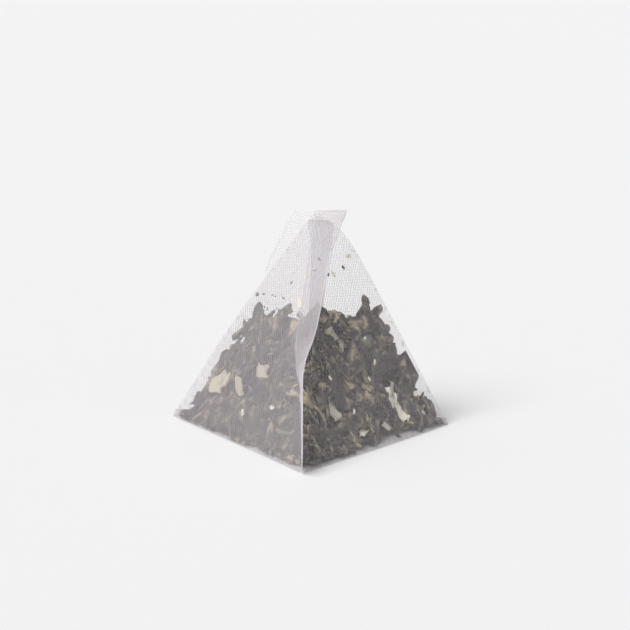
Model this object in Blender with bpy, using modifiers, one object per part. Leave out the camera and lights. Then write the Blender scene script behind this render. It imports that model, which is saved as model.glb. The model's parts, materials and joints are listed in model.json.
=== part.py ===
# Pyramid tea bag: a tube of woven nylon welded at both ends, the two welds at right angles,
# resting on one face, with rolled tea leaves, petals and stalks loose inside.
import math
import random

import bmesh
import bpy
import numpy as np
from mathutils import Matrix, Vector

# Driving sizes, in metres
BAG_WIDTH = 0.058  # flat width of the tube, and so each edge of the pyramid
TUBE_LENGTH = 0.0464  # between the two welds
FRONT_FLAP = 0.0067  # film beyond the sloping front weld
BACK_FLAP = 0.0065  # film beyond the weld on the floor
WALL = 0.0004
CELLS_ROUND = 20  # threads of the coarse weave round the tube
CELLS_ALONG = 5  # and along it
HALF_STRAND = 0.00055
LAP_HALF = 0.0015  # half the lap seam that closes the sheet into a tube
FOLD_RADIUS = 0.0012
SHOULDER = 0.0046  # how far the right fold stands out near the top
LEFT_SHOULDER = 0.0012
EAR = 0.0039  # flat corner of film that stands out left of the peak
EAR_RISE = 0.0008
# how far the front weld sways sideways, in bag widths, down its length
SWAY = ((0.0, -0.011), (0.25, -0.033), (0.5, -0.060), (0.6, -0.055), (0.7, -0.035), (1.0, -0.021))
# how far the front flap has turned from edge on, in degrees, down its length
TURNS = ((0.0, 90), (0.07, 65), (0.2, 46), (0.5, 40), (0.58, 27), (0.64, 13), (0.7, 3), (1.0, 0))
LEAVES = 30
LEAF_LENGTH = (0.20 * BAG_WIDTH, 0.31 * BAG_WIDTH)
LEAF_RADIUS = (0.020 * BAG_WIDTH, 0.033 * BAG_WIDTH)
STALKS = 3
STALK_LENGTH = 0.22 * BAG_WIDTH
STALK_RADIUS = 0.011 * BAG_WIDTH
PETAL_THICK = 0.00035
PRESS = 0.0045 * BAG_WIDTH  # how far a petal is pushed past first contact
GAP = 0.006 * BAG_WIDTH  # clearance between loose pieces
WALL_ROOM = 0.0096 * BAG_WIDTH  # clearance to the middle of the pouch's wall

# Places derived from them: the side view is a triangle of the two faces and the front weld
DEPTH = math.sqrt(TUBE_LENGTH ** 2 - BAG_WIDTH ** 2 / 4)  # from the middle of one weld to the other's
HEIGHT = BAG_WIDTH * DEPTH / TUBE_LENGTH
BACK = TUBE_LENGTH / 3  # from the base's centre to the weld at the back
PEAK_Y = BACK - TUBE_LENGTH + BAG_WIDTH ** 2 / (2 * TUBE_LENGTH)
FOOT_Y = -2 * BACK
START = Vector((0, BACK, 0))
WELD_MIDDLE = Vector((0, (PEAK_Y + FOOT_Y) / 2, HEIGHT / 2))
AXIS = (WELD_MIDDLE - START).normalized()
ACROSS = Vector((1, 0, 0))
RISE = Vector((0, PEAK_Y - FOOT_Y, HEIGHT)).normalized()

for obj in list(bpy.data.objects):
    bpy.data.objects.remove(obj, do_unlink=True)
tea_bag = bpy.data.collections.new("pyramid_tea_bag")
bpy.context.scene.collection.children.link(tea_bag)


def material(name, colour, roughness):
    made = bpy.data.materials.new(name)
    made.use_nodes = True
    shader = made.node_tree.nodes["Principled BSDF"]
    shader.inputs["Base Color"].default_value = (*colour, 1)
    shader.inputs["Roughness"].default_value = roughness
    return made


def add(name, mesh, finish):
    obj = bpy.data.objects.new(name, mesh)
    mesh.materials.append(finish)
    tea_bag.objects.link(obj)
    return obj


# The pouch's surface: a point for each place on the flat sheet, s round the tube from the
# middle of the back face and v along it from the rear weld
def outline(s, t):
    half_wide = BAG_WIDTH * (1 - t) / 2
    half_deep = BAG_WIDTH * t / 2
    r = min(FOLD_RADIUS, half_wide / 2, half_deep / 2)
    scale = 2 * BAG_WIDTH / (4 * (half_wide + half_deep) - (8 - 2 * math.pi) * r)
    left = (s % (2 * BAG_WIDTH)) / scale
    x, h = 0.0, half_deep
    heading = 0.0
    runs = [half_wide - r, 2 * (half_deep - r), 2 * (half_wide - r), 2 * (half_deep - r)]
    for run in runs + [half_wide - r]:
        step = min(left, run)
        x += step * math.cos(heading)
        h += step * math.sin(heading)
        left -= step
        if left <= 0:
            break
        turn = math.pi / 2
        if r > 0:
            turn = min(turn, left / r)
        chord = 2 * r * math.sin(turn / 2)
        x += chord * math.cos(heading - turn / 2)
        h += chord * math.sin(heading - turn / 2)
        heading -= turn
        left -= r * turn
        if left <= 1e-12:
            break
    return x * scale, h * scale


def smooth(value):
    value = min(max(value, 0.0), 1.0)
    return value * value * (3 - 2 * value)


def along_table(table, q):
    """The value at q of a table of (place, value) rows."""
    for (q0, a0), (q1, a1) in zip(table, table[1:]):
        if q <= q1:
            return a0 + (a1 - a0) * max(q - q0, 0) / (q1 - q0)
    return table[-1][1]


def place(x, h, t):
    half_wide = BAG_WIDTH * (1 - t) / 2
    half_deep = BAG_WIDTH * t / 2
    rightness = smooth((x / half_wide + 1) / 2) if half_wide > 1e-6 else 0.5
    upness = smooth((h / half_deep + 1) / 2) if half_deep > 1e-6 else 0.5
    right = SHOULDER * t * (1 - math.exp(-(1 - t) / 0.05))
    left = -LEFT_SHOULDER * math.sin(math.pi * t)
    down = (1 - h / half_deep) / 2 if half_deep > 1e-6 else 0.5
    sway = along_table(SWAY, down) * BAG_WIDTH * t * t
    shift = sway + upness * (rightness * right + (1 - rightness) * left)
    point = START + AXIS * (DEPTH * t) + ACROSS * (x + shift) + RISE * h
    point.z = max(point.z, 0.0) + WALL / 2
    return point


def pouch_point(s, v):
    t = min(max(v / TUBE_LENGTH, 0.0), 1.0)
    point = place(*outline(s, t), t)
    if v > TUBE_LENGTH:
        down = s / BAG_WIDTH
        turn = math.radians(along_table(TURNS, down))
        way = AXIS * math.cos(turn) + ACROSS * math.sin(turn)
        point = point + way * (v - TUBE_LENGTH) + RISE * (EAR_RISE * max(1 - down / 0.1, 0))
    if v < 0:
        point = point + Vector((0, -v, 0.0))
    return point


def woven_pouch():
    bm = bmesh.new()
    pitch = 2 * BAG_WIDTH / CELLS_ROUND
    rise = TUBE_LENGTH / CELLS_ALONG
    bmesh.ops.create_grid(bm, x_segments=CELLS_ROUND, y_segments=CELLS_ALONG + 2, size=1)
    for vert in bm.verts:
        column = round((vert.co.x + 1) / 2 * CELLS_ROUND)
        row = round((vert.co.y + 1) / 2 * (CELLS_ALONG + 2)) - 1
        v = row * rise
        if row < 0:
            v = -BACK_FLAP
        if row > CELLS_ALONG:
            v = TUBE_LENGTH + FRONT_FLAP
        vert.co = Vector((column * pitch, v, 0))
    # each flap is both layers welded into one, so half of its cells go
    spare = []
    for face in bm.faces:
        middle = face.calc_center_median()
        if middle.y > TUBE_LENGTH and middle.x > BAG_WIDTH:
            spare.append(face)
        if middle.y < 0 and not BAG_WIDTH / 2 < middle.x < 3 * BAG_WIDTH / 2:
            spare.append(face)
    bmesh.ops.delete(bm, geom=spare, context="FACES")
    # the pyramid's four free folds run across the weave, from corner to corner of the cells
    slope = BAG_WIDTH / 2 / TUBE_LENGTH
    folds = ((0, slope), (BAG_WIDTH, -slope), (BAG_WIDTH, slope), (2 * BAG_WIDTH, -slope))
    for face in [f for f in bm.faces if 0 < f.calc_center_median().y < TUBE_LENGTH]:
        middle = face.calc_center_median()
        for start, run in folds:
            if abs(start + run * (TUBE_LENGTH - middle.y) - middle.x) < 1e-6:
                on_fold = [
                    vert
                    for vert in face.verts
                    if abs(start + run * (TUBE_LENGTH - vert.co.y) - vert.co.x) < 1e-6
                ]
                bmesh.utils.face_split(face, *on_fold)
                break
    cells = [f for f in bm.faces if 0 < f.calc_center_median().y < TUBE_LENGTH]
    bmesh.ops.inset_individual(bm, faces=cells, thickness=HALF_STRAND, use_even_offset=True)
    seam = {vert for face in cells for vert in face.verts}
    for vert in seam:
        vert.co.x = min(max(vert.co.x, LAP_HALF), 2 * BAG_WIDTH - LAP_HALF)
    bmesh.ops.delete(bm, geom=cells, context="FACES_ONLY")
    long_edges = [e for e in bm.edges if e.calc_length() > rise * 0.6]
    bmesh.ops.subdivide_edges(bm, edges=long_edges, cuts=1)
    # the ear: film left flat beside the top of the left fold, joined to it
    left_fold = [v for v in bm.verts if abs(2 * BAG_WIDTH - slope * (TUBE_LENGTH - v.co.y) - v.co.x) < 1e-6]
    left_fold = [v for v in left_fold if TUBE_LENGTH * 0.69 < v.co.y < TUBE_LENGTH * 1.01]
    left_fold.sort(key=lambda v: -v.co.y)
    ear_size = [(v.co.y / TUBE_LENGTH - 0.7) / 0.3 for v in left_fold]
    for vert in bm.verts:
        vert.co = pouch_point(vert.co.x, vert.co.y)
    rims = []
    for vert, share in zip(left_fold[:-1], ear_size):
        offset = ACROSS * (-EAR * share ** 0.6) + RISE * (EAR_RISE * share ** 4)
        rims.append(bm.verts.new(vert.co + offset))
    for k in range(len(rims) - 1):
        bm.faces.new((left_fold[k], rims[k], rims[k + 1], left_fold[k + 1]))
    bm.faces.new((left_fold[-2], rims[-1], left_fold[-1]))
    bmesh.ops.remove_doubles(bm, verts=bm.verts, dist=1e-5)
    mesh = bpy.data.meshes.new("mesh_pouch")
    bm.to_mesh(mesh)
    bm.free()
    return mesh


pouch = add("mesh_pouch", woven_pouch(), material("woven_nylon", (0.86, 0.86, 0.88), 0.35))
wall = pouch.modifiers.new("wall", "SOLIDIFY")
wall.solidify_mode = "NON_MANIFOLD"
wall.nonmanifold_thickness_mode = "FIXED"
wall.thickness = WALL
wall.offset = 0

# The room inside: planes, each given as a point and an outward direction
peak = Vector((-0.03 * BAG_WIDTH, PEAK_Y, HEIGHT))
front = Vector((SWAY[-1][1] * BAG_WIDTH, FOOT_Y, 0))
dent = WELD_MIDDLE + ACROSS * (min(sway for down, sway in SWAY) * BAG_WIDTH)
rear_left = Vector((-BAG_WIDTH / 2, BACK, 0))
rear_right = Vector((BAG_WIDTH / 2, BACK, 0))
peak_right = peak + Vector((SHOULDER, 0, 0))


def plane(a, b, c, inside):
    out = (b - a).cross(c - a).normalized()
    if out.dot(inside - a) > 0:
        out.negate()
    return a, out


heart = Vector((0, 0, HEIGHT / 4))
RIGHT_FACE = plane(front, rear_right, dent, heart)
# the weld's sway dents the right face, so a point need only be within its lower or upper half
DENTED = (RIGHT_FACE, plane(dent, rear_right, peak_right, heart))
LEFT_FACE = plane(front, rear_left, peak, heart)
WALLS = (LEFT_FACE, plane(rear_left, rear_right, peak, heart))
FLOOR = WALL_ROOM + WALL / 2

# Loose pieces are packed as chains of balls: each is lowered until it meets what lies below
packed = np.zeros((0, 4))


def settle(balls):
    global packed
    packed = np.vstack([packed, [(*centre, r) for centre, r in balls]])


def inside_walls(balls):
    for centre, r in balls:
        if centre.z - r < FLOOR - 1e-7:
            return False
        if any((centre - corner).dot(out) + r + WALL_ROOM > 0 for corner, out in WALLS):
            return False
        if all((centre - corner).dot(out) + r + WALL_ROOM > 0 for corner, out in DENTED):
            return False
    return True


def travel(balls, way, limit):
    """How far the balls can go along way before one comes within GAP of a packed ball."""
    others = packed
    own = np.array([(*c, r) for c, r in balls])
    to = others[None, :, :3] - own[:, None, :3]
    reach = others[None, :, 3] + own[:, None, 3] + GAP
    along = to @ np.array(way)
    aside = (to ** 2).sum(axis=2) - along ** 2
    meets = (aside < reach ** 2) & (along > -reach)
    if not meets.any():
        return limit
    stops = along[meets] - np.sqrt(reach[meets] ** 2 - aside[meets])
    return min(limit, float(stops.min()))


def drop(balls):
    above = 0.7 * BAG_WIDTH
    lift = above - min(centre.z - r for centre, r in balls)
    lifted = [(centre + Vector((0, 0, lift)), r) for centre, r in balls]
    return Vector((0, 0, lift - travel(lifted, Vector((0, 0, -1)), above - FLOOR)))


def rod(length, radius, bend, taper):
    """Balls along a bent rod that lies round the origin."""
    balls = []
    for k in range(9):
        u = k / 4 - 1
        curve = Vector((length * u / 2, bend * length * (u * u - 0.33), 0.12 * length * bend * math.sin(3 * u)))
        balls.append((curve, radius * (1 - taper * abs(u) ** 3)))
    return balls


def turned(balls, turn, place_at):
    return [(turn @ centre + place_at, r) for centre, r in balls]


def pack_rods(numbers, length, radius, taper, tries, lean):
    """Rods settled one by one, each at the lowest place found, so that none is left out."""
    rods = []
    for number in numbers:
        chance = random.Random(number)
        # the later ones are shorter, to fit the narrower room higher up
        high = number % 100 / LEAVES
        size = chance.uniform(*length) * (1.1 - 0.55 * high), chance.uniform(*radius)
        shape = rod(*size, chance.uniform(-0.35, 0.35), taper)
        best = None
        tried = 0
        while tried < tries or (best is None and tried < 40 * tries):
            tried += 1
            turn = Matrix.Rotation(chance.uniform(0, 2 * math.pi), 3, "Z")
            turn = turn @ Matrix.Rotation(chance.uniform(-0.9, 0.9), 3, "Y")
            turn = turn @ Matrix.Rotation(chance.uniform(0, 2 * math.pi), 3, "X")
            across, back = chance.uniform(-0.43, 0.46), chance.uniform(-0.46, 0.25)
            balls = turned(shape, turn, Vector((across, back, 0)) * BAG_WIDTH)
            fall = drop(balls)
            balls = [(centre + fall, r) for centre, r in balls]
            if not inside_walls(balls):
                continue
            top = max(centre.z + r for centre, r in balls)
            middle = balls[4][0]
            cost = top + 0.3 * middle.z - lean * middle.x + 0.12 * middle.y - 0.1 * abs(middle.x)
            if best is None or cost < best[0]:
                best = cost, balls
        if best is None:
            print("rod", number, "found no place")
            continue
        settle(best[1])
        rods.append((best[1], chance.uniform(1.5, 4.5) * chance.choice((-1, 1))))
    return rods


def groove_profile(name, notch):
    """A rolled leaf's cross-section: round, with the groove where its edge laps over."""
    curve = bpy.data.curves.new(name, "CURVE")
    curve.dimensions = "2D"
    curve.fill_mode = "NONE"
    ring = (1.0, 0.95, notch, 0.8, 1.0, 0.92, 1.0, 0.94)
    line = curve.splines.new("POLY")
    line.points.add(len(ring) - 1)
    for k, r in enumerate(ring):
        angle = -2 * math.pi * k / len(ring)
        line.points[k].co = (r * math.cos(angle), r * math.sin(angle), 0, 1)
    line.use_cyclic_u = True
    obj = bpy.data.objects.new(name, curve)
    obj.hide_render = True
    obj.display_type = "WIRE"
    helpers.objects.link(obj)
    return obj


helpers = bpy.data.collections.new("profiles")
helpers.hide_render = True
bpy.context.scene.collection.children.link(helpers)
GROOVES = [groove_profile("rolled_profile", 0.62), groove_profile("open_profile", 0.45)]


def rolled(name, balls, profile, twist, finish):
    curve = bpy.data.curves.new(name, "CURVE")
    curve.dimensions = "3D"
    curve.bevel_mode = "OBJECT"
    curve.bevel_object = profile
    curve.use_fill_caps = True
    line = curve.splines.new("POLY")
    line.points.add(len(balls) - 1)
    for k, (centre, r) in enumerate(balls):
        line.points[k].co = (*centre, 1)
        line.points[k].radius = r
        line.points[k].tilt = twist * k / (len(balls) - 1)
    return add(name, curve, finish)


leaf_finish = material("dried_leaf", (0.035, 0.03, 0.022), 0.55)
petal_finish = material("dried_petal", (0.78, 0.68, 0.45), 0.6)
stalk_finish = material("dried_stalk", (0.2, 0.12, 0.06), 0.6)

half = LEAVES // 2
low_leaves = pack_rods(range(half), LEAF_LENGTH, LEAF_RADIUS, 0.55, 300, 0.12)
stalk_lengths = (STALK_LENGTH, STALK_LENGTH * 1.3)
stalk_radii = (STALK_RADIUS, STALK_RADIUS * 1.2)
stalks = pack_rods(range(100, 100 + STALKS), stalk_lengths, stalk_radii, 0.2, 200, 0.3)
leaves = low_leaves + pack_rods(range(half, LEAVES), LEAF_LENGTH, LEAF_RADIUS, 0.55, 300, 0.12)
for number, (balls, twist) in enumerate(leaves):
    rolled(f"tea_leaf_{number + 1:02d}", balls, GROOVES[number % 2], twist, leaf_finish)
for number, (balls, twist) in enumerate(stalks):
    rolled(f"stalk_{number + 1:02d}", balls, GROOVES[0], twist / 4, stalk_finish)

# Petals lie against the heap, seen through the two front faces: place across and up on the
# face, length and width as shares of the bag's width, and how far turned on it
PETALS = (
    (0.352, 0.095, 0.090, 0.079, 0.6),
    (0.114, 0.152, 0.072, 0.059, 1.1),
    (0.143, 0.326, 0.052, 0.041, 1.2),
    (0.271, 0.333, 0.045, 0.038, 0.4),
    (0.359, 0.233, 0.086, 0.034, 2.0),
    (0.198, 0.071, 0.059, 0.034, 0.1),
    (0.303, 0.057, 0.055, 0.038, 2.7),
    (0.059, 0.397, 0.062, 0.028, 1.5),
    (-0.355, 0.174, 0.121, 0.083, 0.5),
    (-0.283, 0.184, 0.079, 0.062, 1.9),
    (-0.202, 0.260, 0.097, 0.059, 0.3),
    (-0.095, 0.362, 0.059, 0.041, 1.0),
)


def petal_spot(x, z, face):
    corner, out = face
    y = corner.y - ((x - corner.x) * out.x + (z - corner.z) * out.z) / out.y
    return Vector((x, y, z))


def petal(number, x, z, length, width, turn_on):
    x, z, length, width = (share * BAG_WIDTH for share in (x, z, length, width))
    face = RIGHT_FACE if x > 0 else LEFT_FACE
    out = face[1]
    along = out.cross(Vector((0, 0, 1))).normalized()
    up = out.cross(along)
    turn = Matrix((along, up, out)).transposed()
    cup = 0.12
    best = None
    for k in range(900):
        swing = turn_on + 0.5 * math.sin(k)
        spread = 0.0035 * BAG_WIDTH * k ** 0.6
        if best and k > 240:
            break
        tilt = Matrix.Rotation(0.25 * math.sin(1.7 * k), 3, "X")
        spot = petal_spot(x, z, face) + along * (spread * math.cos(2.4 * k)) + up * (spread * math.sin(2.4 * k))
        pose = turn @ Matrix.Rotation(swing, 3, "Z") @ tilt
        balls = []
        for i in range(5):
            for j in range(5):
                a, b = i / 2 - 1, j / 2 - 1
                if a * a + b * b < 1.3:
                    flat = Vector((a * length / 2, b * width / 2, -cup * length * (a * a + b * b) / 2))
                    balls.append((pose @ flat, PETAL_THICK * 0.7))
        deepest = max((c.dot(out) + r) for c, r in balls)
        start = spot - out * (deepest + 1.2 * WALL_ROOM)
        balls = [(c + start, r) for c, r in balls]
        if not inside_walls(balls):
            continue
        reach = 0.35 * BAG_WIDTH
        slide = travel(balls, -out, reach)
        if slide < 0 or slide > 0.95 * reach:
            continue
        slide += PRESS
        moved = [(c - out * slide, r) for c, r in balls]
        if inside_walls(moved) and (best is None or slide + spread < best[0]):
            best = slide + spread, pose, start - out * slide, moved
    if best is None:
        print("petal", number, "found no place")
        return
    settle(best[3])
    bm = bmesh.new()
    bmesh.ops.create_circle(bm, cap_ends=True, segments=14, radius=1)
    bmesh.ops.inset_region(bm, faces=bm.faces[:], thickness=0.4)
    bmesh.ops.poke(bm, faces=[f for f in bm.faces if len(f.verts) > 4])
    for vert in bm.verts:
        angle = math.atan2(vert.co.y, vert.co.x)
        ragged = 1 - 0.14 * (1 + math.sin(5 * angle + number)) * vert.co.length
        a, b = vert.co.x * ragged, vert.co.y * ragged * (1 - 0.3 * vert.co.x)
        vert.co = Vector((a * length / 2, b * width / 2, -cup * length * (a * a + b * b) / 2))
    bmesh.ops.recalc_face_normals(bm, faces=bm.faces[:])
    mesh = bpy.data.meshes.new(f"petal_{number:02d}")
    bm.to_mesh(mesh)
    bm.free()
    mesh.transform(Matrix.Translation(best[2]) @ best[1].to_4x4())
    obj = add(mesh.name, mesh, petal_finish)
    body = obj.modifiers.new("body", "SOLIDIFY")
    body.thickness = PETAL_THICK
    body.offset = 0


for number, numbers in enumerate(PETALS):
    petal(number + 1, *numbers)

# The origin goes to the middle of the bounding box's underside
bpy.context.view_layer.update()
solid = pouch.evaluated_get(bpy.context.evaluated_depsgraph_get()).to_mesh()
low = [min(vert.co[i] for vert in solid.vertices) for i in range(3)]
high = [max(vert.co[i] for vert in solid.vertices) for i in range(3)]
centre = Vector(((low[0] + high[0]) / 2, (low[1] + high[1]) / 2, low[2]))
for obj in tea_bag.objects:
    obj.location -= centre
crossing = pouch_point(BAG_WIDTH, TUBE_LENGTH * 2 / CELLS_ALONG) - centre
print("centre", centre[:], "crossing", crossing[:])
print("heap top", (packed[:, 2] + packed[:, 3]).max(), "of", HEIGHT)
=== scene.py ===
# Pyramid tea bag of woven nylon, resting on one face, with rolled tea leaves, petals and stalks.
import json
import math
import random

import bmesh
import bpy
import numpy as np
from mathutils import Matrix, Vector, noise
from mathutils.bvhtree import BVHTree

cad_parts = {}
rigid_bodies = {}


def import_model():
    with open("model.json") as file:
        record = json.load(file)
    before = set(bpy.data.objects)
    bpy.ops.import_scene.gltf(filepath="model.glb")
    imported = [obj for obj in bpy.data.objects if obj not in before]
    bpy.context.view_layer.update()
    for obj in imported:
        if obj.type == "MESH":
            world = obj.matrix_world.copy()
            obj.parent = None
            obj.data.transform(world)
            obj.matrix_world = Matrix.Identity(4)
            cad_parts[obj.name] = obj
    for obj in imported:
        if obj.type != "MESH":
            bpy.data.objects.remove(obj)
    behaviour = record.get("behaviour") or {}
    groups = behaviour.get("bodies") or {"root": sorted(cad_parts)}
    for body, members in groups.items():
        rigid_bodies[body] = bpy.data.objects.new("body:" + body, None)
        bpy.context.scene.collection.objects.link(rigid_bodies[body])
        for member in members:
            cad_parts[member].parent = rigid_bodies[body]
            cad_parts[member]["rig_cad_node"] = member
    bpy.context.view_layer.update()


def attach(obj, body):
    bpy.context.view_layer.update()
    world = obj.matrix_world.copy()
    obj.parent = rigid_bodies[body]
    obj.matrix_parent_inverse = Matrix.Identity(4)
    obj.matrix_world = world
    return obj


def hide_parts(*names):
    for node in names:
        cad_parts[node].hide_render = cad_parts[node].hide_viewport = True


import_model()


# The camera looks along +Y at the front weld from a little above, as the photo does
SENSOR = 36
REACH = 0.45
PICTURE_WIDE = 0.1257  # what the picture spans at the bag
camera_data = bpy.data.cameras.new("camera")
camera = bpy.data.objects.new("camera", camera_data)
bpy.context.scene.collection.objects.link(camera)
aim = Vector((0.0003, 0.0020, 0.0263))
above = math.radians(10)
camera.location = aim + Vector((0, -math.cos(above), math.sin(above))) * REACH
camera_data.sensor_width = SENSOR
camera_data.lens = SENSOR * REACH / PICTURE_WIDE
camera_data.clip_start = 0.01
look = (aim - camera.location).to_track_quat("-Z", "Y").to_matrix().to_4x4()
roll = Matrix.Rotation(math.radians(1.8), 4, "Z")
camera.matrix_world = Matrix.Translation(camera.location) @ look @ roll
bpy.context.scene.camera = camera


# The pouch: one sheet of clear nylon monofilament in plain weave, folded to a tube with a lap
# seam and welded flat at both ends, the welds at right angles so that it stands as a pyramid.
def srgb(code):
    """A colour written as sRGB hex, made linear."""
    parts = [int(code[i:i + 2], 16) / 255 for i in (1, 3, 5)]
    return (*[p / 12.92 if p <= 0.04045 else ((p + 0.055) / 1.055) ** 2.4 for p in parts], 1)


def new_material(name):
    made = bpy.data.materials.new(name)
    made.use_nodes = True
    return made, made.node_tree, made.node_tree.nodes["Principled BSDF"]


def node(tree, kind, links=None, **values):
    """A new node with its settings, and its inputs set or linked."""
    made = tree.nodes.new(kind)
    for key, value in values.items():
        setattr(made, key, value)
    for key, value in (links or {}).items():
        if isinstance(value, bpy.types.NodeSocket):
            tree.links.new(value, made.inputs[key])
        else:
            made.inputs[key].default_value = value
    return made


# drawn nylon 6, smooth and clear: thread and gap together read as a pale see-through haze
nylon, tree, shader = new_material("woven nylon monofilament")
shader.inputs["Base Color"].default_value = srgb("#DFD9DD")
shader.inputs["Roughness"].default_value = 0.3
shader.inputs["Alpha"].default_value = 0.16
shader.inputs["IOR"].default_value = 1.5
# painted sheen: the left face and the flap, on the side the sun lights, take a more opaque copy, so their
# threads read as a cloudier pale haze
painted_sheen = nylon.copy()
painted_sheen.name = "woven nylon monofilament, clouded"
painted_sheen.node_tree.nodes["Principled BSDF"].inputs["Alpha"].default_value = 0.34

WIDTH = 0.058  # flat width of the tube
LENGTH = 0.0464  # between the welds
FRONT_FLAP = 0.0067
BACK_FLAP = 0.0065
WALL = 0.0004  # thickness of the part's film
SHOULDER = 0.0046  # how far the right fold bows out below the peak
LEFT_SHOULDER = 0.0012
EAR = 0.0039  # film left flat beside the top of the left fold
EAR_RISE = 0.0008
DEPTH = math.sqrt(LENGTH ** 2 - WIDTH ** 2 / 4)
HEIGHT = WIDTH * DEPTH / LENGTH
BACK = LENGTH / 3
PEAK_Y = BACK - LENGTH + WIDTH ** 2 / (2 * LENGTH)
ORIGIN = np.array((0, -0.007101, 0))  # the middle of the part's box in these places
AXIS = np.array(Vector((0, (PEAK_Y - 2 * BACK) / 2 - BACK, HEIGHT / 2)).normalized())
ACROSS = np.array((1.0, 0.0, 0.0))
RISE = np.array(Vector((0, PEAK_Y + 2 * BACK, HEIGHT)).normalized())
# how far the front weld stands to the left, in tube widths, at shares of the way down it
SWAY_AT = (0, 0.25, 0.5, 0.6, 0.7, 1)
SWAY = (-0.011, -0.033, -0.060, -0.055, -0.035, -0.021)
# how far the front flap has turned from edge on, in degrees, at shares of the way down it
TURN_AT = (0, 0.07, 0.2, 0.5, 0.58, 0.64, 0.7, 1)
TURN = (90, 65, 46, 40, 27, 13, 3, 0)


def smooth(value):
    value = np.clip(value, 0, 1)
    return value * value * (3 - 2 * value)


def pouch_points(s, v):
    """Where places on the flat sheet lie on the folded pouch: s round the tube, v along it."""
    t = np.clip(v / LENGTH, 0, 1)
    a = WIDTH * (1 - t) / 2
    b = WIDTH * t / 2
    s = np.mod(s, 2 * WIDTH)
    x = np.where(s < a, s, np.where(s < a + 2 * b, a, np.where(
        s < 3 * a + 2 * b, 2 * a + 2 * b - s, np.where(s < 3 * a + 4 * b, -a, s - 4 * a - 4 * b))))
    h = np.where(s < a, b, np.where(s < a + 2 * b, a + b - s, np.where(
        s < 3 * a + 2 * b, -b, np.where(s < 3 * a + 4 * b, s - 3 * a - 3 * b, b))))
    rightness = smooth((x / np.maximum(a, 1e-6) + 1) / 2)
    upness = smooth((h / np.maximum(b, 1e-6) + 1) / 2)
    right = SHOULDER * t * (1 - np.exp(-(1 - t) / 0.05))
    left = -LEFT_SHOULDER * np.sin(math.pi * t)
    down = (1 - h / np.maximum(b, 1e-6)) / 2
    sway = np.interp(down, SWAY_AT, SWAY)
    shift = sway * WIDTH * t * t + upness * (rightness * right + (1 - rightness) * left)
    point = np.array((0, BACK, 0)) + np.outer(DEPTH * t, AXIS)
    point = point + np.outer(x + shift, ACROSS) + np.outer(h, RISE)
    point[:, 2] = np.maximum(point[:, 2], 0) + WALL / 2
    # past the weld the flap goes on, turned, and its top corner rises to the ear
    down = np.where(s > WIDTH, 2 * WIDTH - s, s) / WIDTH
    turn = np.radians(np.interp(down, TURN_AT, TURN))
    out = np.maximum(v - LENGTH, 0)
    way = np.outer(np.cos(turn), AXIS) + np.outer(np.sin(turn), ACROSS)
    lift = EAR_RISE * np.maximum(1 - down / 0.1, 0) * np.clip(out / 0.0005, 0, 1)
    point = point + way * out[:, None] + np.outer(lift, RISE)
    point[:, 1] += np.maximum(-v, 0)
    return point - ORIGIN


def ear_points(s, v):
    """The film left flat beside the top of the left fold: s out from the fold, v along it."""
    t = np.minimum(v / LENGTH, 0.9999)
    fold = pouch_points(1.999999 * WIDTH - WIDTH / 2 * (1 - t), t * LENGTH)
    share = np.clip((v / LENGTH - 0.7) / 0.3, 0, 1)
    wide = EAR * share ** 0.6
    out = np.minimum(s, wide)
    rise = EAR_RISE * share ** 4 * out / np.maximum(wide, 1e-6)
    return fold - np.outer(out, ACROSS) + np.outer(rise, RISE)


def normals(lay, s, v, top):
    step = 2e-5
    over = lay(s + step, v) - lay(s - step, v)
    along = lay(s, np.minimum(v + step, top)) - lay(s, v - step)
    normal = np.cross(over, along)
    return normal / np.maximum(np.linalg.norm(normal, axis=1), 1e-12)[:, None]


PITCH = 0.00036  # the real weave is about 0.25 mm, too fine to draw
THREAD = 0.00009
THREAD_DEEP = 0.000045
WAVE = 0.3  # how far a thread goes over and under its neighbours, in thread widths


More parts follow.
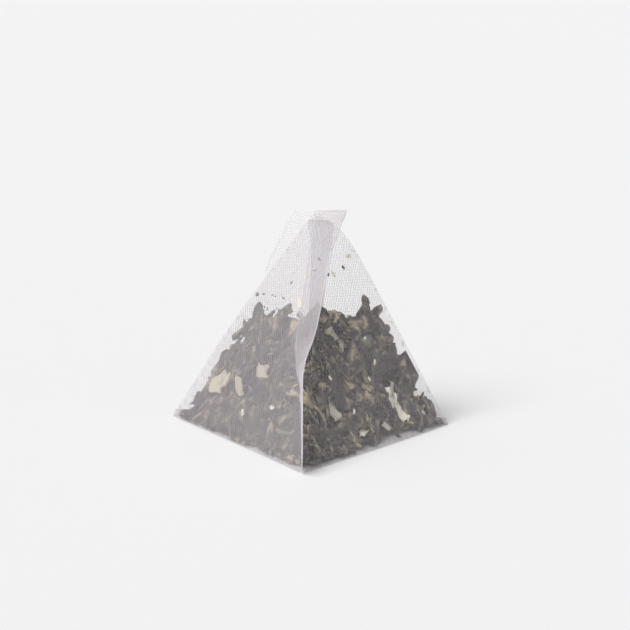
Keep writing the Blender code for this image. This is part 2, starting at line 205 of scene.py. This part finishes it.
def threads(name, count, first, long, steps, across_tube, lay=pouch_points, top=LENGTH + FRONT_FLAP):
    """Thread beams side by side on the flat sheet, made from one by an array, laid on the pouch."""
    bm = bmesh.new()
    bmesh.ops.create_cube(bm, size=1)
    lengthwise = [e for e in bm.edges if abs(e.verts[0].co.x - e.verts[1].co.x) > 0.5]
    bmesh.ops.subdivide_edges(bm, edges=lengthwise, cuts=steps - 1, use_grid_fill=True)
    bmesh.ops.scale(bm, vec=(long, THREAD, THREAD_DEEP), verts=bm.verts)
    bmesh.ops.translate(bm, vec=(long / 2 + first[0], first[1], 0), verts=bm.verts)
    mesh = bpy.data.meshes.new(name)
    bm.to_mesh(mesh)
    bm.free()
    obj = bpy.data.objects.new(name, mesh)
    bpy.context.scene.collection.objects.link(obj)
    row = obj.modifiers.new("row", "ARRAY")
    row.use_relative_offset = False
    row.use_constant_offset = True
    row.constant_offset_displace = (0, PITCH, 0)
    row.count = count
    made = bpy.data.meshes.new_from_object(obj.evaluated_get(bpy.context.evaluated_depsgraph_get()))
    bpy.data.objects.remove(obj)
    flat = np.empty(len(made.vertices) * 3, np.float32)
    made.vertices.foreach_get("co", flat)
    flat = flat.reshape(-1, 3).astype(float)
    if across_tube:
        s, v = flat[:, 0], flat[:, 1]
    else:
        s, v = flat[:, 1], flat[:, 0]
    # a thread bends sharply where it meets a fold, so its nearest station moves there
    station = long / steps / 2
    t = np.clip(v / LENGTH, 0, 1)
    if across_tube:
        for fold in (1 - t, 1 + t, 3 - t, 3 + t):
            s = np.where(abs(s - fold * WIDTH / 2) < station, fold * WIDTH / 2, s)
    else:
        for fold in (0, LENGTH, LENGTH * abs(2 * np.mod(s / WIDTH, 1) - 1)):
            v = np.where(abs(v - fold) < station, fold, v)
    # over one crossing thread and under the next
    crossing = np.floor(s / PITCH + 0.5).astype(int) + np.floor(v / PITCH + 0.5).astype(int)
    wave = np.where(crossing & 1, 1, -1)
    height = flat[:, 2] + wave * THREAD * (WAVE if across_tube else -WAVE)
    points = lay(s, v) + normals(lay, s, v, top) * height[:, None]
    made.vertices.foreach_set("co", points.astype(np.float32).ravel())
    # the left face and the flap take the more opaque copy with the painted sheen
    starts = np.array([face.vertices[0] for face in made.polygons])
    round_tube = s[starts] / WIDTH * 2
    is_left = (round_tube > 3 - t[starts]) & (round_tube < 3 + t[starts]) | (v[starts] > LENGTH)
    made.polygons.foreach_set("material_index", is_left.astype(np.int32))
    made.update()
    return made


def shown(name, bm, finish, instead_of=None):
    """A finished piece of the bag in its material, held to the root body; the part it stands in for is
    hidden.
    """
    mesh = bpy.data.meshes.new(name)
    bm.to_mesh(mesh)
    bm.free()
    mesh.materials.append(finish)
    obj = bpy.data.objects.new(name, mesh)
    bpy.context.scene.collection.objects.link(obj)
    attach(obj, "root")
    if instead_of:
        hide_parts(instead_of)
    return obj


sheet_long = BACK_FLAP + LENGTH + FRONT_FLAP
ear_low = 0.72 * LENGTH
ear_long = LENGTH - ear_low
cloth = bmesh.new()
for thread_set in (
    threads("warp", round(2 * WIDTH / PITCH), (-BACK_FLAP, 0), sheet_long, 30, False),
    threads("weft", round(sheet_long / PITCH), (0, -BACK_FLAP + PITCH / 2), 2 * WIDTH, 60, True),
    threads("ear_warp", round(EAR / PITCH), (ear_low, PITCH / 2), ear_long, 10, False, ear_points, LENGTH),
    threads("ear_weft", round(ear_long / PITCH), (0, ear_low), EAR, 4, True, ear_points, LENGTH),
):
    cloth.from_mesh(thread_set)
weave = shown("woven_mesh", cloth, nylon, "mesh_pouch")
weave.data.materials.append(painted_sheen)

# The welds and cut edges: no added part, but the nylon itself, melted flat by a hot bar along
# both seams and down the lap, and beaded where it was cut. It looks whiter and glossier there.
weld_and_fold_highlight, tree, shader = new_material("melted nylon weld")
shader.inputs["Base Color"].default_value = srgb("#EDEBF0")
shader.inputs["Roughness"].default_value = 0.25
shader.inputs["Alpha"].default_value = 0.35
TAPER_AT = (0, 0.3, 0.42, 1)  # the shares of a strip's run at which its half widths are given


def strip(name, places, widths, thick, lay=pouch_points):
    """A flat strip along places on the sheet, its half width tapering along v or s."""
    bm = bmesh.new()
    bmesh.ops.create_grid(bm, x_segments=len(places) - 1, y_segments=1, size=1)
    s, v = [], []
    for vert in bm.verts:
        k = round((vert.co.x + 1) / 2 * (len(places) - 1))
        (s0, v0), (ds, dv) = places[k]
        half = np.interp(k / (len(places) - 1), TAPER_AT, widths)
        s.append(s0 + ds * half * (1 if vert.co.y > 0 else -1))
        v.append(v0 + dv * half * (1 if vert.co.y > 0 else -1))
    for vert, point in zip(bm.verts, lay(np.array(s), np.array(v))):
        vert.co = point
    bmesh.ops.recalc_face_normals(bm, faces=bm.faces[:])
    obj = shown(name, bm, weld_and_fold_highlight)
    body = obj.modifiers.new("body", "SOLIDIFY")
    body.thickness = thick
    body.offset = 0
    return obj


def even(half):
    return (half, half, half, half)


steps = [k / 60 for k in range(61)]
BEAD = 0.0002  # thickness of a cut edge, and how far in from the cut its middle lies
top_v = LENGTH + FRONT_FLAP
front = [((q * WIDTH, LENGTH + 0.0005), (0, 1)) for q in steps]
rear = [((WIDTH * (0.5 + q), -0.0006), (0, 1)) for q in steps]
front_rim = [((q * WIDTH, top_v - BEAD), (0, 1)) for q in steps]
rear_rim = [((WIDTH * (0.5 + q), -BACK_FLAP + BEAD), (0, 1)) for q in steps]
peak_rim = [((BEAD, LENGTH + q * FRONT_FLAP), (1, 0)) for q in steps]
foot_rim = [((WIDTH - BEAD, LENGTH + q * FRONT_FLAP), (1, 0)) for q in steps]
ear_rim = [((q * EAR, LENGTH * 0.9985), (0, 1)) for q in steps]
ear_fold = [((EAR * q ** 0.6 - 0.00015, LENGTH * (0.7 + 0.2985 * q)), (1, 0)) for q in steps]
lap = [((0.0, q * LENGTH * 0.98), (1, 0)) for q in steps]
strips = [
    strip("front_weld", front, (0.00012, 0.0001, 0.00005, 0.00005), 0.0001),
    strip("rear_weld", rear, even(0.0003), 0.00018),
    strip("front_cut_edge", front_rim, (0.00016, 0.00014, 0.00005, 0.00005), BEAD),
    strip("peak_cut_edge", peak_rim, even(0.00016), BEAD),
    strip("foot_cut_edge", foot_rim, even(0.00016), BEAD),
    strip("ear_cut_edge", ear_rim, even(0.00012), BEAD, ear_points),
    # no weld lies on the ear's fold: this thin strip of the weld's whiter nylon along it is a painted
    # highlight
    strip("ear_fold", ear_fold, even(0.0001), 0.00012, ear_points),
    strip("rear_cut_edge", rear_rim, even(0.00016), BEAD),
    strip("lap_seam", lap, even(0.0012), 0.00016),
]

# The tea: whole leaves rolled and twisted, then dried, lying loose in the pouch. They start from
# the part's leaves, made finer and creased along their run.
# dried leaf: patches of its own tone, with painted shade near black in the folds and painted highlights in
# tan on the ridges, and a faint waxy gloss
leaf, tree, shader = new_material("dried rolled tea leaf")
LEAF_PATCHES = 300.0  # per metre: patches of colour about 3 mm across
LEAF_GRAIN = 1700.0  # veins and wrinkles about 0.6 mm apart; the finest real ones don't show
place = node(tree, "ShaderNodeTexCoord").outputs["Object"]
patch_looks = {"Vector": place, "Scale": LEAF_PATCHES, "Detail": 6.0, "Roughness": 0.7}
patch = node(tree, "ShaderNodeTexNoise", patch_looks)
crest = node(tree, "ShaderNodeAttribute", attribute_name="crease")
ridges = {0: crest.outputs["Fac"], 1: patch.outputs["Fac"]}
# the crease value paints the ridges pale as painted highlights and the folds near black as painted shade;
# the noise patches are the leaf's own tone
crest_light_and_patches = node(tree, "ShaderNodeMath", ridges, operation="MULTIPLY")
tone = node(tree, "ShaderNodeValToRGB", {"Fac": crest_light_and_patches.outputs[0]})
tone.color_ramp.elements[0].position = 0.10
tone.color_ramp.elements[0].color = srgb("#0E0C0A")
tone.color_ramp.elements[1].position = 0.56
tone.color_ramp.elements[1].color = srgb("#C4B691")
for position, code in ((0.24, "#26221B"), (0.38, "#6B634E")):
    tone.color_ramp.elements.new(position).color = srgb(code)
tree.links.new(tone.outputs["Color"], shader.inputs["Base Color"])
grain = node(tree, "ShaderNodeTexNoise", {"Vector": place, "Scale": LEAF_GRAIN, "Detail": 4.0})
wrinkles = {"Strength": 0.7, "Distance": 0.0003, "Height": grain.outputs["Fac"]}
bump = node(tree, "ShaderNodeBump", wrinkles)
tree.links.new(bump.outputs["Normal"], shader.inputs["Normal"])
shader.inputs["Roughness"].default_value = 0.42
noise.seed_set(3)  # without a seed the vector noise starts from the clock

# The room inside the pouch: planes given as a point and an outward direction. The right face is
# dented by the front weld's sway, so two planes share it.
CLEAR = 0.0003  # between the tea and the middle of the film
corner_s = np.array((0, WIDTH, 1.5 * WIDTH, 0.5 * WIDTH))
corner_v = np.array((LENGTH, LENGTH, 0, 0))
peak, foot, rear_left, rear_right = (Vector(point) for point in pouch_points(corner_s, corner_v))
dent = Vector(pouch_points(np.array((WIDTH / 2,)), np.array((LENGTH,)))[0])
heart = (peak + foot + rear_left + rear_right) / 4
walls = (
    (foot, rear_right, dent),
    (dent, rear_right, peak + Vector((SHOULDER, 0, 0))),
    (foot, rear_left, peak),
    (rear_left, rear_right, peak),
    (foot, rear_left, rear_right),
)
faces = []
for a, b, c in walls:
    out = (b - a).cross(c - a).normalized()
    faces.append((a, out if out.dot(heart - a) < 0 else -out))


def pressed(point):
    """The point itself, or where the pouch's walls would hold it; a corner takes a few turns."""
    for _ in range(4):
        depths = [(corner - point).dot(out) for corner, out in faces]
        spare = 0 if depths[0] < depths[1] else 1
        for number, (corner, out) in enumerate(faces):
            deep = (corner - point).dot(out)
            if number != spare and deep < CLEAR:
                point = point - out * (CLEAR - deep)
    return point


def inside(point, room):
    """Whether a point is room or more within the pouch."""
    depths = [(corner - point).dot(out) for corner, out in faces]
    return max(depths[0], depths[1]) > room and min(depths[2:]) > room


def behind_front(point):
    """How far a point inside the pouch lies behind the nearer of its two front faces."""
    depths = [(corner - point).dot(out) for corner, out in faces[:3]]
    return min(max(depths[0], depths[1]), depths[2])


def creased(source, levels, depth, scale, seed, pose=Matrix(), bend=0):
    """A finer copy of a leaf, creased along its run and pressed flat where it meets the pouch."""
    bm = bmesh.new()
    bm.from_mesh(source)
    bmesh.ops.remove_doubles(bm, verts=bm.verts, dist=1e-5)
    bmesh.ops.dissolve_degenerate(bm, edges=bm.edges[:], dist=1e-6)
    for _ in range(levels):
        bmesh.ops.subdivide_edges(bm, edges=bm.edges[:], cuts=1, use_grid_fill=True, smooth=0.6)
    bmesh.ops.transform(bm, matrix=pose, verts=bm.verts)
    bm.normal_update()
    offset = Vector((seed * 3.1, seed * 1.7, 0))
    crest = bm.verts.layers.float.new("crease")
    ends = source.vertices[len(source.vertices) - 1].co - source.vertices[0].co
    along = (pose.to_3x3() @ ends).normalized()
    for vert in bm.verts:
        across = (vert.co - along * along.dot(vert.co) * 0.7) * scale
        fold = abs(noise.noise(across + offset)) + 0.6 * abs(noise.noise(across * 2.3 - offset))
        # ridges stand out and the folds between them sink; the crease value is high on the ridges for
        # painted highlights and low in the folds for painted shade
        vert.co += vert.normal * depth * (0.45 - 2.2 * fold)
        vert[crest] = max(0, 1.15 - 2.4 * fold)
        if bend:
            vert.co += noise.noise_vector(vert.co * 190 + offset) * bend
        vert.co = pressed(vert.co)
    bmesh.ops.recalc_face_normals(bm, faces=bm.faces[:])
    for face in bm.faces:
        face.smooth = True
    return bm


cad = {obj.name: obj for obj in bpy.data.objects if obj.type == "MESH" and "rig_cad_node" in obj}
leaf_names = sorted(name for name in cad if name.startswith("tea_leaf"))
for number, name in enumerate(leaf_names):
    shown("rolled_" + name, creased(cad[name].data, 2, 0.0006, 300, number), leaf, name)

# Broken leaf: short bits of the same rolled leaf, snapped in handling. They lie loose between the
# whole leaves, fill the heap out to the mesh and rest on their neighbours and on the pouch.
HEAP_TOP = 0.0238
HEAP_HIGH = 0.0245  # no bit is tried above this
SPACING = 0.0021  # least distance between the middles of two bits of a handful
BY_FRONT = 0.0032  # how far behind the front faces the outer handfuls reach
# each handful's number of bits, reach behind the front faces, size, steepness and top
HANDFULS = [(210, math.inf, 1.0, 1.5, HEAP_HIGH)] * 2
HANDFULS += [(130, BY_FRONT, 1.35, 1.5, HEAP_HIGH)] * 3
HANDFULS += [(210, BY_FRONT, 1.0, 0.3, 0.005)]
chance = random.Random(5)
solid = bmesh.new()
for obj in [o for o in cad.values() if o.name != "mesh_pouch"]:
    solid.from_mesh(obj.data)
near = BVHTree.FromBMesh(solid)
solid.free()
petal_spots = []
for obj in [o for o in cad.values() if o.name.startswith("petal")]:
    middle = sum((vert.co for vert in obj.data.vertices), Vector()) / len(obj.data.vertices)
    petal_spots.append((middle, max((vert.co - middle).length for vert in obj.data.vertices)))


def before_petal(spot):
    """Whether something at spot would hide a petal that lies against the mesh."""
    for middle, across in petal_spots:
        aside = math.hypot(spot.x - middle.x, spot.z - middle.z)
        if aside < across * 0.85 and spot.y < middle.y + 0.0004:
            return True
    return False


def heap_top(spot):
    """The heap is lower to the left and uneven on top."""
    return HEAP_TOP - 0.1 * max(0.009 - spot.x, 0) + 0.002 * noise.noise(spot * 150)


crosswise = Vector((1, 0, 0))
for handful, (wanted, reach, coarse, steep, high) in enumerate(HANDFULS, 1):
    broken = bmesh.new()
    broken.verts.layers.float.new("crease")
    placed = []
    tries = 0
    while len(placed) < wanted and tries < 30000:
        tries += 1
        x, y = chance.uniform(-0.029, 0.029), chance.uniform(-0.026, 0.027)
        spot = Vector((x, y, chance.uniform(0.0008, high)))
        if spot.z > heap_top(spot) or not inside(spot, 0.0009) or behind_front(spot) > reach:
            continue
        away = near.find_nearest(spot)[3]
        if away > 0.009 or any((spot - other).length < SPACING * coarse for other in placed):
            continue
        source = cad[chance.choice(leaf_names)].data
        count = len(source.vertices)
        middle = sum((vert.co for vert in source.vertices), Vector()) / count
        run = source.vertices[count - 1].co - source.vertices[0].co
        lying = run.rotation_difference(crosswise).to_matrix().to_4x4()
        cut = (chance.uniform(0.3, 0.58), chance.uniform(0.55, 0.95), chance.uniform(0.45, 0.8), 1)
        size = Matrix.Scale(coarse, 4) @ Matrix.Diagonal(cut)
        for _ in range(10):
            turn = Matrix.Rotation(chance.uniform(0, 6.28), 4, "Z")
            lean = Matrix.Rotation(chance.uniform(-steep, steep), 4, "Y")
            spin = Matrix.Rotation(chance.uniform(0, 6.28), 4, "X")
            lies = Matrix.Translation(spot) @ (turn @ lean) @ spin @ size @ lying
            pose = lies @ Matrix.Translation(-middle)
            outline = [pose @ vert.co for vert in list(source.vertices)[::3]]
            if all(inside(point, -0.0004) and not before_petal(point) for point in outline):
                break
        else:
            continue
        placed.append(spot)
        bit = creased(source, 1, 0.0008, 330, tries, pose, 0.0016 * coarse ** 2)
        mesh = bpy.data.meshes.new("bit")
        bit.to_mesh(mesh)
        bit.free()
        broken.from_mesh(mesh)
        bpy.data.meshes.remove(mesh)
    shown(f"broken_leaf_{handful}", broken, leaf)

# Petals: whole and torn jasmine petals, dried with the tea and lying loose. They are thin, and
# the pouch presses them flat against the mesh.
# dried petal: matt, cream with tan stains; those on the left side take a darker, greyer copy
petal, tree, shader = new_material("dried jasmine petal")
PETAL_STAINS = 420.0  # per metre: stains about 2.4 mm across
place = node(tree, "ShaderNodeTexCoord").outputs["Object"]
stain = node(tree, "ShaderNodeTexNoise", {"Vector": place, "Scale": PETAL_STAINS, "Detail": 4.0})
tone = node(tree, "ShaderNodeValToRGB", {"Fac": stain.outputs["Fac"]})
tone.color_ramp.elements[0].position = 0.28
tone.color_ramp.elements[0].color = srgb("#D8BE84")
tone.color_ramp.elements[1].position = 0.44
tone.color_ramp.elements[1].color = srgb("#FFF9E6")
tree.links.new(tone.outputs["Color"], shader.inputs["Base Color"])
shader.inputs["Roughness"].default_value = 0.55
# a darker, greyer copy of the finish, for the petals on the left side
darker_greyer = petal.copy()
darker_greyer.name = "browned jasmine petal"
darker_greyer_tones = darker_greyer.node_tree.nodes[tone.name].color_ramp.elements
for element, code in zip(darker_greyer_tones, ("#9A8C70", "#CFC6AC")):
    element.color = srgb(code)
for name in sorted(name for name in cad if name.startswith("petal")):
    bm = bmesh.new()
    bm.from_mesh(cad[name].data)
    bmesh.ops.remove_doubles(bm, verts=bm.verts, dist=1e-5)
    for _ in range(2):
        bmesh.ops.subdivide_edges(bm, edges=bm.edges[:], cuts=1, use_grid_fill=True)
    middle = sum((vert.co for vert in bm.verts), Vector()) / len(bm.verts)
    for vert in bm.verts:
        # notches about 3 mm long with nicks of about 1.3 mm on them
        torn = noise.noise_vector(vert.co * 330) * 0.0009 + noise.noise_vector(vert.co * 750) * 0.0006
        vert.co = pressed(vert.co + (vert.co - middle) * 0.2 + torn)
    bmesh.ops.recalc_face_normals(bm, faces=bm.faces[:])
    shown("torn_" + name, bm, petal if middle.x > 0 else darker_greyer, name)

# Leaf dust and petal flakes: broken bits that cling to the inside of the mesh, most of them
# above the heap. Places are across and up on the front faces, and lengths, in millimetres.
LEAF_DUST = [(-14, 22, 1.5), (6, 35, 1.0), (3, 34, 0.8), (0, 35, 0.7)]
LEAF_DUST += [(1, 37, 1.0), (-5, 32, 0.8), (-12, 28, 1.3)]
for k in range(16):
    LEAF_DUST.append((-9 + 2.8 * math.cos(2.4 * k), 27 + 1.9 * math.sin(4.1 * k), 0.5 + 0.08 * (k % 5)))
PETAL_FLAKES = [(7, 37, 1.6), (4, 34, 1.5), (-2, 34, 1.7), (-3, 29, 2.6), (1, 32, 0.9)]
PETAL_FLAKES += [(19, 18, 1.4), (22, 8, 1.8), (12, 13, 1.1), (9, 8, 1.2), (16, 10, 1.3)]
PETAL_FLAKES += [(4, 15, 1.2), (13, 16, 1.3), (-8, 9, 1.6), (-14, 6, 1.6)]
tube = bmesh.new()
bmesh.ops.create_grid(tube, x_segments=160, y_segments=60, size=1)
round_tube = np.array([(vert.co.x + 1) * WIDTH for vert in tube.verts])
along_tube = np.array([(vert.co.y + 1) / 2 * LENGTH for vert in tube.verts])
for vert, point in zip(tube.verts, pouch_points(round_tube, along_tube)):
    vert.co = point
tube.normal_update()
skin = BVHTree.FromBMesh(tube)
tube.free()
for name, bits, finish, slot, thick in (
    ("leaf_dust", LEAF_DUST, leaf, "dried_leaf", 0.35),
    ("petal_flakes", PETAL_FLAKES, petal, "dried_petal", 0.12),
):
    dust = bmesh.new()
    for number, (across, up, long) in enumerate(bits):
        in_front = Vector((across / 1000, -0.1, up / 1000))
        spot, normal = skin.ray_cast(in_front, Vector((0, 1, 0)))[:2]
        if normal.y > 0:
            normal.negate()
        flat_on = normal.to_track_quat("Z", "Y").to_matrix().to_4x4()
        swing = Matrix.Rotation(number * 2.1, 4, "Z")
        size = Matrix.Diagonal((long / 2000, long / 2000 * 0.55, long / 2000 * thick, 1))
        lies = Matrix.Translation(spot - normal * 0.0004) @ flat_on @ swing @ size
        made = bmesh.ops.create_icosphere(dust, subdivisions=2, radius=1)["verts"]
        for vert in made:
            vert.co += noise.noise_vector(vert.co * 1.7 + Vector((number * 5, 0, 0))) * 0.55
        bmesh.ops.transform(dust, matrix=lies, verts=made)
    shown(name, dust, finish)

# Stalks: thin leaf stems, picked and dried with the tea, bent and loose among the leaves. They
# are the part's own.
# dried stem: matt and brown, with darker streaks
stalk, tree, shader = new_material("dried stalk")
STALK_STREAKS = 900.0  # per metre: streaks about 1.1 mm long; the real fibres are finer
place = node(tree, "ShaderNodeTexCoord").outputs["Object"]
streak = node(tree, "ShaderNodeTexNoise", {"Vector": place, "Scale": STALK_STREAKS, "Detail": 3.0})
tone = node(tree, "ShaderNodeValToRGB", {"Fac": streak.outputs["Fac"]})
tone.color_ramp.elements[0].color = srgb("#3B2616")
tone.color_ramp.elements[1].color = srgb("#A07C4C")
tree.links.new(tone.outputs["Color"], shader.inputs["Base Color"])
shader.inputs["Roughness"].default_value = 0.6
for name, obj in cad.items():
    if name.startswith("stalk"):
        obj.data.materials.clear()
        obj.data.materials.append(stalk)

# The floor: plain pale matt paper, which keeps the bag's soft shadow
bpy.ops.mesh.primitive_plane_add(size=6, location=(0, 0, 0))
floor = bpy.context.object
floor.name = "floor"
paper, tree, shader = new_material("plain paper")
shader.inputs["Base Color"].default_value = srgb("#FDFDFD")
shader.inputs["Roughness"].default_value = 0.9
floor.data.materials.append(paper)

# The backdrop: pale where it is seen, directly or in a surface. As a light it is dim, so that the
# sun from the left models the bag.
world = bpy.data.worlds.new("world")
bpy.context.scene.world = world
world.use_nodes = True
backdrop = world.node_tree.nodes["Background"]
backdrop.inputs["Color"].default_value = srgb("#F3F3F3")
path = world.node_tree.nodes.new("ShaderNodeLightPath")
seen = path.outputs["Is Camera Ray"]
for ray in ("Is Glossy Ray", "Is Transmission Ray"):
    either = node(world.node_tree, "ShaderNodeMath", {0: seen, 1: path.outputs[ray]}, operation="MAXIMUM")
    seen = either.outputs[0]
strength = node(world.node_tree, "ShaderNodeMapRange", {"Value": seen, "To Min": 0.30, "To Max": 1.0})
world.node_tree.links.new(strength.outputs["Result"], backdrop.inputs["Strength"])
sun = bpy.data.lights.new("window", "SUN")
sun.energy = 3.08
sun.angle = math.radians(30)
lamp = bpy.data.objects.new("window", sun)
bpy.context.scene.collection.objects.link(lamp)
lamp.rotation_euler = Vector((0.42, 0.64, -0.64)).to_track_quat("-Z", "Y").to_euler()
bpy.context.scene.view_settings.view_transform = "Standard"
